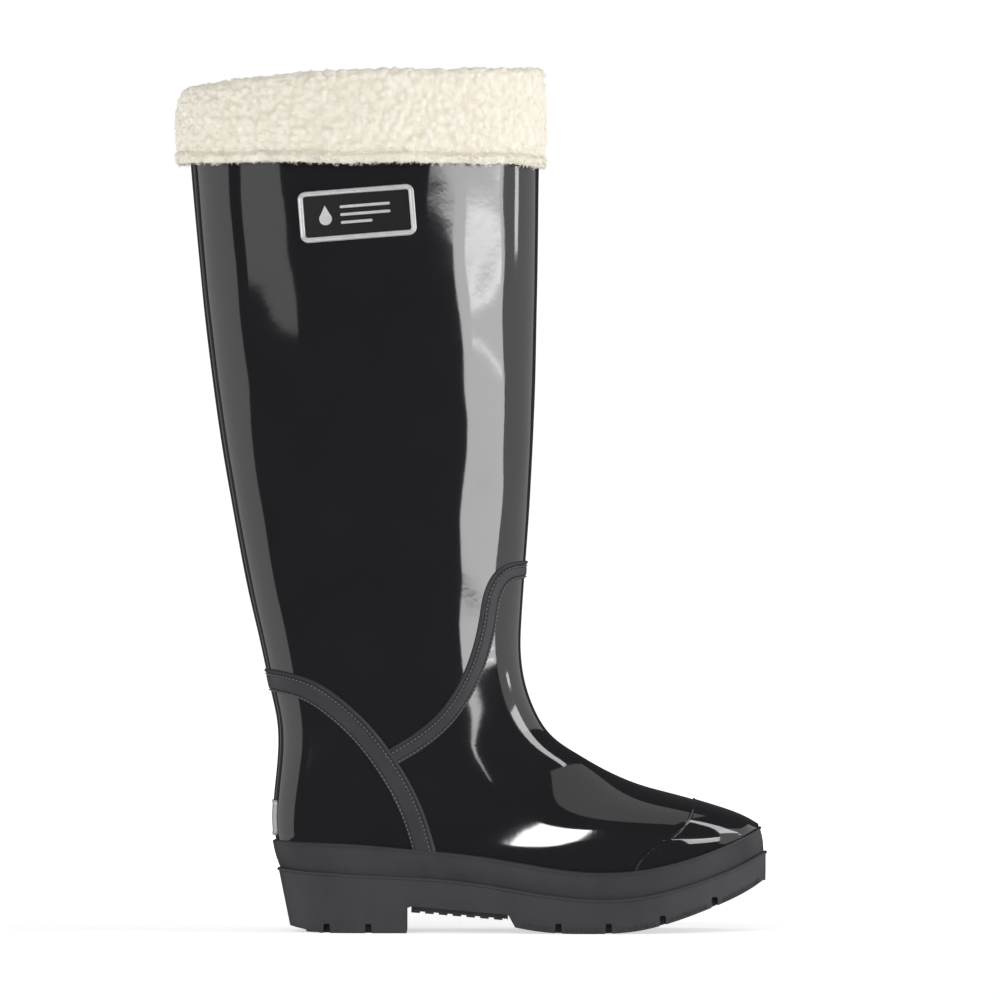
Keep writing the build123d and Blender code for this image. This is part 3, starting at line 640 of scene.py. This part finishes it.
def make_sole_lip():
    """A bead of oval section round the sole's upper edge."""
    centre = halves(sole_wall(lambda x: ridge_height(x) - 0.9, 0.25), 5.0)
    following = np.roll(centre, -1, axis=0) - np.roll(centre, 1, axis=0)
    outward = np.stack([following[:, 1], -following[:, 0], 0 * following[:, 0]], axis=1)
    outward /= np.linalg.norm(outward, axis=1)[:, None]
    spin = np.arange(12) * TAU / 12
    grid = centre + 1.05 * np.cos(spin)[:, None, None] * outward
    grid = grid + 0.85 * np.sin(spin)[:, None, None] * np.array([0, 0, 1.0])
    make_piece("sole_lip_bead", grid, quads(*grid.shape[:2], True, True, flip=True), "boot", "sole_rubber")


def make_edge_ribs():
    """Fine upright ribs along the forefoot's lower edge, clear of its notches."""
    bottom = side_line(FOREFOOT_BOTTOM)
    low = evened(sole_wall(lambda x: np.interp(x, bottom[:, 0], bottom[:, 1]) + 1.8, 0.0), 460)
    clear = np.abs(low[:, 0, None] - np.array(FOREFOOT_NOTCHES)).min(axis=1) > 3.4
    places = low[clear & (low[:, 0] > 28) & (low[:, 0] < 156)]
    axes = np.tile(np.array([[0, 0, 1.0], [1.0, 0, 0], [0, 1.0, 0]]), (len(places), 1, 1))
    sizes = np.tile([1.35, 0.38, 0.38], (len(places), 1))
    points, faces = repeated(*rounded_rod(), places, axes, sizes)
    make_piece("sole_edge_ribs", points, faces, "boot", "sole_rubber")


# ---- the badge ---------------------------------------------------------------------------------------
def rounded_rectangle(width, height, corner, count):
    """Evenly spaced points round a rounded rectangle."""
    angle = np.linspace(0, TAU, 721)[:-1]
    side_x = np.sign(np.cos(angle)) * (width / 2 - corner)
    side_z = np.sign(np.sin(angle)) * (height / 2 - corner)
    points = np.stack([side_x + corner * np.cos(angle), side_z + corner * np.sin(angle)], axis=1)
    closed = np.vstack([points, points[:1]])
    length = run_length(closed)
    even = np.linspace(0, length[-1], count, endpoint=False)
    return np.stack([np.interp(even, length, closed[:, i]) for i in (0, 1)], axis=1)


def make_badge_frame():
    """The silver frame: a profile with an outer bead, a groove and an inner bead, carried round a rounded
    rectangle on the leg."""
    inset = np.linspace(0, BADGE_RIM, 15)
    share = inset / BADGE_RIM
    outer_bead, inner_bead = np.exp(-(((share - 0.27) / 0.2) ** 2)), np.exp(-(((share - 0.78) / 0.16) ** 2))
    lift = 0.9 + 0.9 * outer_bead + 0.75 * inner_bead
    lift[0], lift[-1] = -0.3, 0.9
    cosine, sine = math.cos(BADGE_TILT), math.sin(BADGE_TILT)
    tilt = np.array([[cosine, sine], [-sine, cosine]])
    rings = []
    for step, height in zip(inset, lift):
        width, tall = (size - 2 * step for size in BADGE_SIZE)
        outline = rounded_rectangle(width, tall, max(4.2 - step, 1.1), 360)
        rings.append(lay(outline @ tilt + np.array(BADGE_CENTRE), -1, height))
    grid = np.stack(rings)
    faces = quads(*grid.shape[:2], wrap_columns=True, flip=True)
    make_piece("badge_frame_beaded", grid, faces, "boot", "badge_silver", ["badge_frame"])


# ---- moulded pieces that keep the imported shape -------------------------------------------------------
def softened_copy(node, body, slot, width):
    """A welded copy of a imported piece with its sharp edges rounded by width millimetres."""
    mesh = NODES[node].data.copy()
    piece = bpy.data.objects.new(node + "_moulded", mesh)
    bpy.context.scene.collection.objects.link(piece)
    mesh.materials.clear()
    mesh.materials.append(FINISHES[slot])
    mesh.polygons.foreach_set("use_smooth", np.full(len(mesh.polygons), True))
    weld = piece.modifiers.new("weld", "WELD")
    weld.merge_threshold = 0.00002
    bevel = piece.modifiers.new("round", "BEVEL")
    bevel.width, bevel.segments = width * 0.001, 2
    bevel.limit_method, bevel.angle_limit = "ANGLE", math.radians(35)
    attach(piece, body)
    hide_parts(node)


def dress_nodes():
    """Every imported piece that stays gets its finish."""
    slots = {part["node"]: part["material_slot"] for part in frame["record"]["subparts"]}
    for name, node in NODES.items():
        node.data.materials.clear()
        node.data.materials.append(FINISHES[slots[name]])


# ---- the fleece --------------------------------------------------------------------------------------
def nubs(across, up, size, seed):
    """A field of round nubs about size millimetres wide, 0 to 1, over distances up and across, which closes
    on itself after AROUND millimetres. Every cell of a jittered grid holds one round hill that falls off as
    1 - d squared, and neighbours melt together through the logarithm of their summed exponentials."""
    columns, rows = round(AROUND / size), int(up.max() / size) + 3
    dice = np.random.default_rng(seed)
    jitter = dice.uniform(0.1, 0.9, (2, rows, columns))
    radius = dice.uniform(0.55, 0.95, (rows, columns))
    tall = dice.uniform(0.5, 1.0, (rows, columns))
    x, y = across / AROUND * columns, up / size + 1
    column, row = np.floor(x).astype(int), np.floor(y).astype(int)
    total = np.zeros(across.shape)
    for i in (-1, 0, 1):
        for j in (-1, 0, 1):
            c, r = (column + i) % columns, (row + j) % rows
            dx, dy = column + i + jitter[0][r, c] - x, row + j + jitter[1][r, c] - y
            hill = np.clip(1 - (dx * dx + dy * dy) / radius[r, c] ** 2, 0, 1)
            total += np.exp(9 * tall[r, c] * hill**0.7)
    return (np.log(total) - math.log(9)) / (9 - math.log(9))


def closed_ring(controls, turn, at):
    """A ring round the leg from its section's closed run of control points, each the stand off, the height
    and how much it follows the leg's narrowing, over the angle. The section is a closed Catmull-Rom curve,
    read at places along it that are counted in control points."""
    controls = np.stack([np.stack(np.broadcast_arrays(*c, turn)[:3]) for c in controls])
    k, f = np.floor(at).astype(int), at - np.floor(at)
    parts = (-f + 2 * f**2 - f**3, 2 - 5 * f**2 + 3 * f**3, f + 4 * f**2 - 3 * f**3, -(f**2) + f**3)
    curve = 0.0
    for shift, part in zip((-1, 0, 1, 2), parts):
        curve = curve + part[:, None, None] / 2 * controls[(k + shift) % len(controls)]
    stand, height, follow = curve[:, 0], curve[:, 1], np.clip(curve[:, 2], 0, 1)
    edge = skin(0.0, turn, 0.0, 0.0)[..., 2]
    points = skin(follow * np.clip(edge - height, 0, None), turn[None, :], stand, 0.0)
    points[..., 2] = height
    return points


def surface_normals(grid):
    """Unit normals of a grid that wraps both ways, from the cross product of its two central differences. The
    side is the one that looks down at the grid's lowest point."""
    down = np.roll(grid, -1, axis=0) - np.roll(grid, 1, axis=0)
    beyond = np.roll(grid, -1, axis=1) - np.roll(grid, 1, axis=1)
    normal = np.cross(beyond, down)
    normal /= np.maximum(np.linalg.norm(normal, axis=-1), 1e-9)[..., None]
    lowest = np.unravel_index(np.argmin(grid[..., 2]), grid.shape[:2])
    return normal if normal[lowest][2] < 0 else -normal


def outward_faces(grid):
    """The faces of a grid that wraps both ways, wound so that the volume inside them, a sum of triple
    products, is positive."""
    faces = quads(*grid.shape[:2], True, True)
    a, b, c = (grid.reshape(-1, 3)[faces[..., i]] for i in range(3))
    outward = (a * np.cross(b - a, c - b)).sum() > 0
    return faces if outward else faces[..., ::-1]


def even_turns(columns):
    """Angles that step evenly round the leg, from the outline's own run length."""
    fine = np.linspace(0, TAU, 2001)
    length = run_length(skin(0.0, fine, 6.0, 0.0))
    return np.interp(np.arange(columns) * length[-1] / columns, length, fine)


def cuff_lines(turn):
    """The cuff at each angle: how far it stands off the leg, its lower, seam and upper heights, and how far
    forward the angle is, 0 to 1."""
    front, side = (1 + np.cos(turn)) / 2, np.abs(np.sin(turn))
    stand = 6.2 - 2.9 * front + 3.2 * side**2 + 0.35 * np.sin(7 * turn + 0.5)
    bottom = 414.4 - 1.3 * front + 0.35 * np.sin(9 * turn + 1.0)
    back = np.clip((42.0 - skin(0.0, turn)[..., 0]) / 200.0 - 0.45, 0, 1) / 0.55
    top = 463.4 - 9.2 * back**2 + 2.2 * front**3 + 0.25 * np.sin(13 * turn)
    return stand, bottom, bottom + HEM_HEIGHT, top, front


def store_painted_shade(piece, used, values):
    """Keeps how high each point of the pile stands, 0 to 1, for the finish to paint shade from: low points
    darker.
    """
    layer = piece.data.attributes.new("painted_crevice_shade", "FLOAT", "POINT")
    layer.data.foreach_set("value", np.asarray(values, np.float32).ravel()[used])


WISP_STEPS, WISP_SIDES = 5, 4


def wisp_tubes(places, along, sideways, length, thickness, bend):
    """Small curved wisps with closed ends. Each is a tapering tube along part of a circle that leaves its
    place in the direction along and turns towards sideways through the angle bend."""
    angle = np.linspace(0, 1, WISP_STEPS)[None, :] * bend[:, None]
    radius = (length / bend)[:, None, None]
    forward = np.sin(angle)[..., None] * along[:, None] + (1 - np.cos(angle))[..., None] * sideways[:, None]
    path = places[:, None] + radius * forward
    out = np.cos(angle)[..., None] * sideways[:, None] - np.sin(angle)[..., None] * along[:, None]
    third = np.cross(along, sideways)[:, None]
    spin = np.arange(WISP_SIDES) * TAU / WISP_SIDES
    thin = thickness * (1 - 0.7 * np.linspace(0, 1, WISP_STEPS) ** 2)
    around = np.cos(spin)[:, None] * out[:, :, None] + np.sin(spin)[:, None] * third[:, :, None]
    points = path[:, :, None] + thin[:, None, None] * around
    corners = WISP_STEPS * WISP_SIDES
    sides = quads(WISP_STEPS, WISP_SIDES, wrap_columns=True, flip=True).reshape(-1, 4)
    faces = np.vstack([sides, [(3, 2, 1, 0)], [np.arange(corners - 4, corners)]])
    faces = faces[None] + corners * np.arange(len(places))[:, None, None]
    return points.reshape(-1, 3), faces.reshape(-1, 4)


def scatter_wisps(name, grid, normal, weight, seed, length, thickness, droop):
    """Wisps of pile at random points of a grid, more where weight is large. They leave the grid askew along
    its normals, leaning down by droop, and curl over."""
    dice = np.random.default_rng(seed)
    chosen = dice.choice(weight.size, WISPS, replace=False, p=(weight / weight.sum()).ravel())
    places, outward = grid.reshape(-1, 3)[chosen], normal.reshape(-1, 3)[chosen]
    along = outward + 0.75 * dice.normal(size=(WISPS, 3)) + np.array([0, 0, -droop])
    along /= np.linalg.norm(along, axis=1)[:, None]
    sideways = np.cross(along, dice.normal(size=(WISPS, 3)))
    sideways /= np.linalg.norm(sideways, axis=1)[:, None]
    sizes = length * dice.uniform(0.6, 1.3, WISPS)
    bend = dice.uniform(1.6, 4.6, WISPS)
    points, faces = wisp_tubes(places - 0.3 * outward, along, sideways, sizes, thickness, bend)
    wisps, used = make_piece(name, points, faces, "liner", "fleece", finish="pile")
    # Wisps stand clear of the pile, so their painted shade is light, 0.6 to 1 at random.
    store_painted_shade(wisps, used, np.repeat(0.6 + 0.4 * dice.random(WISPS), WISP_STEPS * WISP_SIDES))


def pile_grid(controls, turn, at):
    """A ring with its normals and, for spacing nubs, the distances round it and along its section."""
    base = closed_ring(controls, turn, at)
    normal = surface_normals(base)
    step = np.linalg.norm(np.diff(base, axis=0), axis=-1)
    up = np.concatenate([np.zeros((1, len(turn))), np.cumsum(step, axis=0)])
    across = np.broadcast_to(np.arange(len(turn)) / len(turn) * AROUND, up.shape)
    return base, normal, across, up


def make_pile(name, node, grid, heights):
    """A closed fleece piece that stands for a packed one."""
    piece, used = make_piece(name, grid, outward_faces(grid), "liner", "fleece", [node], "pile")
    # heights set the pile's painted shade: the lower a point, the darker it is painted.
    store_painted_shade(piece, used, heights)
    return piece


def make_cuff():
    """The folded part. Its section runs up the outer face, over the fold, down inside the leg, up again,
    over the leg's edge and down to the seam. Nubs stand on what can be seen of it."""
    turn = even_turns(720)
    stand, _, seam, top, front = cuff_lines(turn)
    edge = skin(0.0, turn, 0.0, 0.0)[..., 2]
    rise, round_off = top - seam, 1 - 0.62 * front
    outer_face = [(stand - 1.9, seam - 0.2, 0), (stand - 0.3, seam + 0.06 * rise, 0),
                  (stand + 0.1, seam + 0.17 * rise, 0), (stand + 0.4, seam + 0.30 * rise, 0),
                  (stand + 0.3, seam + 0.43 * rise, 0), (stand + 0.1, seam + 0.56 * rise, 0),
                  (stand - 0.2, seam + 0.69 * rise, 0)]
    fold = [(stand - 0.9 * round_off, top - 1.5 - 6.5 * round_off, 0),
            (stand - 0.4 - 2.2 * round_off, top - 0.6 - 2.6 * round_off, 0),
            (stand - 2.8 - 3.2 * round_off, top - 0.5 * round_off, 0), (-2.6, top - 0.6, 0)]
    in_the_leg = [(-6.2, top - 2.6, 0), (-8.0, top - 7, 0.2), (-8.7, top - 14, 0.6), (-8.9, top - 22, 1),
                  (-8.9, top - 30, 1), (-8.9, top - 38, 1), (-7.0, top - 44, 1)]
    hidden = [(-5.2, top - 40, 1), (-5.0, edge - 14, 1), (-4.9, edge - 3, 0.6), (-4.4, edge + 1.4, 0),
              (1.8, edge + 1.4, 0), (2.1, edge - 9, 0), (2.1, seam + 4, 0), (2.3, seam - 0.2, 0)]
    at = np.concatenate([np.linspace(-0.4, 10.5, 92), np.linspace(10.6, 16.6, 34), np.linspace(17, 25.3, 12)])
    base, normal, across, up = pile_grid(outer_face + fold + in_the_leg + hidden, turn, at)
    shown = (np.clip((at + 0.2) / 0.9, 0, 1) * np.clip((16.9 - at) / 0.8, 0, 1))[:, None]
    lean = 1.1 * np.sin(across / 11.0 + 1.7 * np.sin(up / 9.0))
    big = nubs(across + lean, up, 4.1, 5)
    small = nubs(across, up + lean, 2.1, 6)
    round_turns = across * TAU / AROUND
    drift = np.sin(round_turns * 9 + up / 6) * np.sin(up / 7.5 + np.sin(round_turns * 4))
    relief = 1.8 * big + 0.6 * small + 0.35 * drift - 1.3
    grid = base + normal * (relief * shown)[..., None]
    # The nubs' heights become painted shade, darker between the nubs.
    piece = make_pile("fleece_cuff_pile", "fleece_cuff", grid, 0.75 * big + 0.35 * small)
    weight = (0.15 + np.clip(relief + 0.4, 0, None)) * shown * (at < 12)[:, None]
    scatter_wisps("fleece_cuff_wisps", grid, normal, weight, 21, 2.0, 0.14, 0.1)


def make_cuff_hem():
    """The turned hem below the cuff's seam: its section runs down the outer face, round the lower edge and up
    beside the leg."""
    turn = even_turns(720)
    stand, bottom, seam, _, _ = cuff_lines(turn)
    controls = [(stand - 1.9, seam + 0.6, 0), (stand - 0.6, seam - 0.9, 0), (stand - 0.4, bottom + 2.6, 0),
                (stand - 1.3, bottom + 0.6, 0), ((stand + 2.0) / 2, bottom, 0), (2.2, bottom + 1.0, 0),
                (1.8, bottom + 3.2, 0), (2.3, seam + 0.6, 0)]
    at = np.concatenate([np.linspace(0, 5.2, 34), np.linspace(5.4, 7.7, 6)])
    base, normal, across, up = pile_grid(controls, turn, at)
    shown = (np.clip((at + 0.1) / 0.9, 0, 1) * np.clip((5.6 - at) / 0.9, 0, 1))[:, None]
    lumps, fine = nubs(across, up, 3.1, 31), nubs(across, up, 1.6, 32)
    downward = np.clip(-normal[..., 2], 0, 1)
    relief = (1.3 + 0.8 * downward) * lumps + 0.6 * fine - 1.0
    grid = base + normal * (relief * shown)[..., None]
    # The lumps' heights become painted shade, darker between the lumps.
    piece = make_pile("cuff_hem_pile", "cuff_hem", grid, 0.2 + 0.6 * lumps + 0.3 * fine)
    scatter_wisps("cuff_hem_wisps", grid, normal, (0.15 + downward) * shown, 22, 2.6, 0.2, 0.5)


def make_liner_tube():
    """The pile tube inside the leg: a closed wall whose inner face carries low nubs."""
    turn = even_turns(300)
    high, low = skin(0.0, turn, 0.0, 0.0)[..., 2] - TUBE_DROP, TUBE_BOTTOM
    rise = np.linspace(0, 1, 9)
    inner_face = [(-8.4, high + (low - high) * r, 1) for r in rise]
    outer_face = [(-4.9, low + (high - low) * r, 1) for r in rise]
    at = np.concatenate([np.linspace(0, 8.2, 240), np.linspace(8.6, 17.6, 24)])
    base, normal, across, up = pile_grid(inner_face + outer_face, turn, at)
    shown = (np.clip(at / 0.3, 0, 1) * np.clip((8.2 - at) / 0.3, 0, 1))[:, None]
    lumps = nubs(across, up, 4.5, 51)
    grid = base + normal * ((1.6 * lumps - 0.8) * shown)[..., None]
    # Heights for painted shade: the inner face darker between its nubs, the hidden outer face an even 0.5.
    heights = np.where(at[:, None] < 8.4, 0.1 + 0.9 * lumps, 0.5)
    piece = make_pile("liner_leg_pile", "liner_leg", grid, heights)


# ---- studio ------------------------------------------------------------------------------------------
def flat_light(name, place, turned, size, glow):
    """A rectangle of light. Its surface shines with strength glow, so its power is glow times pi times its
    area."""
    light = bpy.data.lights.new(name, "AREA")
    light.shape, (light.size, light.size_y) = "RECTANGLE", size
    light.energy = glow * math.pi * size[0] * size[1]
    lamp = bpy.data.objects.new(name, light)
    bpy.context.scene.collection.objects.link(lamp)
    lamp.location, lamp.rotation_euler = place, turned
    lamp.visible_camera = False
    return lamp


def panel(name, azimuths, heights, distance, glow, tilt=0.0):
    """A light that faces the boot. It spans two azimuths, counted in degrees from the camera towards the toe,
    and two heights, and is tilted in its own plane."""
    low, high = (math.radians(a) for a in azimuths)
    middle, width = (low + high) / 2, 2 * distance * math.tan((high - low) / 2)
    place = (distance * math.sin(middle), -distance * math.cos(middle), sum(heights) / 2)
    turned = Euler((math.pi / 2, 0, middle)).to_matrix() @ Euler((0, 0, math.radians(tilt))).to_matrix()
    return flat_light(name, place, turned.to_euler(), (width, heights[1] - heights[0]), glow)


def glowing_screen(name, azimuths, bottoms, top, distance, glow):
    """A bent screen of light round the boot, over azimuths counted as a panel's are. Its lower edge runs
    through the heights bottoms, and its upper edge is level at top."""
    turn = np.radians(np.linspace(azimuths[0], azimuths[-1], 64))
    foot = np.interp(turn, np.radians(azimuths), bottoms)
    x, y = distance * np.sin(turn), -distance * np.cos(turn)
    rows = np.stack([np.stack([x, y, foot], axis=1), np.stack([x, y, np.full_like(x, top)], axis=1)])
    mesh = bpy.data.meshes.new(name)
    mesh.from_pydata(rows.reshape(-1, 3).tolist(), [], quads(*rows.shape[:2]).reshape(-1, 4).tolist())
    screen = bpy.data.objects.new(name, mesh)
    bpy.context.scene.collection.objects.link(screen)
    screen.visible_camera = screen.visible_shadow = False
    cloth = Finish(name, Roughness=1.0, Emission_Strength=glow)
    cloth.base(gray(0.0))
    cloth.plug(cloth.shader.inputs["Emission Color"], gray(1.0))
    mesh.materials.append(cloth.material)


def make_camera():
    """A level camera on the boot's outer side, far enough away to show almost no perspective."""
    scene = bpy.context.scene
    camera = bpy.data.cameras.new("camera")
    camera.lens, camera.sensor_width, camera.clip_end = 400.0, 36.0, 50.0
    eye = bpy.data.objects.new("camera", camera)
    scene.collection.objects.link(eye)
    eye.location, eye.rotation_euler = (0.0162, -6.0, 0.2327), (math.pi / 2, 0, 0)
    scene.camera = eye
    scene.view_settings.view_transform = "Standard"
    scene.view_settings.look = "None"


def make_world():
    """White behind the boot, and a dim gray for everything that lights it or shows in its gloss."""
    world = bpy.data.worlds.new("studio")
    bpy.context.scene.world = world
    world.use_nodes = True
    tree = world.node_tree
    dim, bright = tree.nodes["Background"], tree.nodes.new("ShaderNodeBackground")
    dim.inputs["Color"].default_value, dim.inputs["Strength"].default_value = (0.06, 0.06, 0.066, 1), 1.0
    bright.inputs["Color"].default_value, bright.inputs["Strength"].default_value = (1, 1, 1, 1), 1.05
    path, mix = tree.nodes.new("ShaderNodeLightPath"), tree.nodes.new("ShaderNodeMixShader")
    tree.links.new(path.outputs["Is Camera Ray"], mix.inputs[0])
    tree.links.new(dim.outputs[0], mix.inputs[1])
    tree.links.new(bright.outputs[0], mix.inputs[2])
    tree.links.new(mix.outputs[0], tree.nodes["World Output"].inputs["Surface"])


def make_lights():
    """The key on the toe side with two brighter tubes in it, dim screens in front and behind, the spot on the
    vamp, the instep's strip, a dim ceiling, and a fill that doesn't show in the gloss."""
    glowing_screen("key", (19.5, 24, 34, 36.5, 39, 70), (0.47, 0.44, 0.36, 0.1, -0.3, -0.3), 0.49, 4.0, 4.8)
    panel("key_upper_tube", (37, 71), (0.35, 0.39), 3.9, 5.0, 2.0)
    panel("key_lower_tube", (38, 71), (0.17, 0.2), 3.9, 4.0, -1.0)
    panel("toe_side", (70.5, 138), (-0.3, 1.1), 1.72, 0.7)
    panel("toe_side_spot", (84.5, 90), (0.385, 0.44), 1.68, 5.0)
    panel("camera_left", (-56, -30), (0.2, 1.2), 1.7, 0.75)
    panel("heel_side", (-128, -68), (-0.4, 1.2), 1.7, 0.75)
    panel("instep_strip", (72, 86.5), (0.5, 2.8), 1.5, 4.6)
    panel("umbrella", (-20.0, -16.5), (0.82, 1.5), 2.0, 15.0)
    flat_light("overhead", (0.0, -0.1, 2.1), (0, 0, 0), (2.2, 2.2), 0.5)
    fill = panel("fill", (-40, 20), (0.5, 2.3), 2.6, 2.15)
    fill.visible_glossy = False


def make_floor():
    """A paper floor that shines white away from the boot, so that only its shadow shows."""
    mesh = bpy.data.meshes.new("floor")
    mesh.from_pydata([(-4, -0.75, 0), (4, -0.75, 0), (4, 6, 0), (-4, 6, 0)], [], [(0, 1, 2, 3)])
    floor = bpy.data.objects.new("floor", mesh)
    bpy.context.scene.collection.objects.link(floor)
    floor.visible_glossy = False
    paper = Finish("paper", Roughness=0.9, Emission_Strength=1.0)
    away = paper.node("VectorMath", {"operation": "LENGTH"}, {0: paper.place}, 1)
    glow = paper.node("MapRange", {}, {0: away, 1: 0.3, 2: 1.2, 3: 0.0, 4: 1.0})
    paper.base(gray(0.85))
    paper.plug(paper.shader.inputs["Emission Color"], paper.mix(glow, gray(0.62), gray(1.1)))
    mesh.materials.append(paper.material)


make_hard_finishes()
make_soft_finishes()
dress_nodes()
make_panels()
make_toe_cap()
make_back_strips()
make_band("vamp_band", VAMP_SEAM, VAMP_BAND, -1, (-2.0, 3.8))
make_band("counter_band", COUNTER_SEAM, COUNTER_BAND, 1, (3.2, -5.0))
make_badge_frame()
make_foxing()
make_sole_lip()
make_edge_ribs()
softened_copy("outsole", "boot", "sole_rubber", 0.45)
make_cuff()
make_cuff_hem()
make_liner_tube()
make_camera()
make_world()
make_lights()
make_floor()
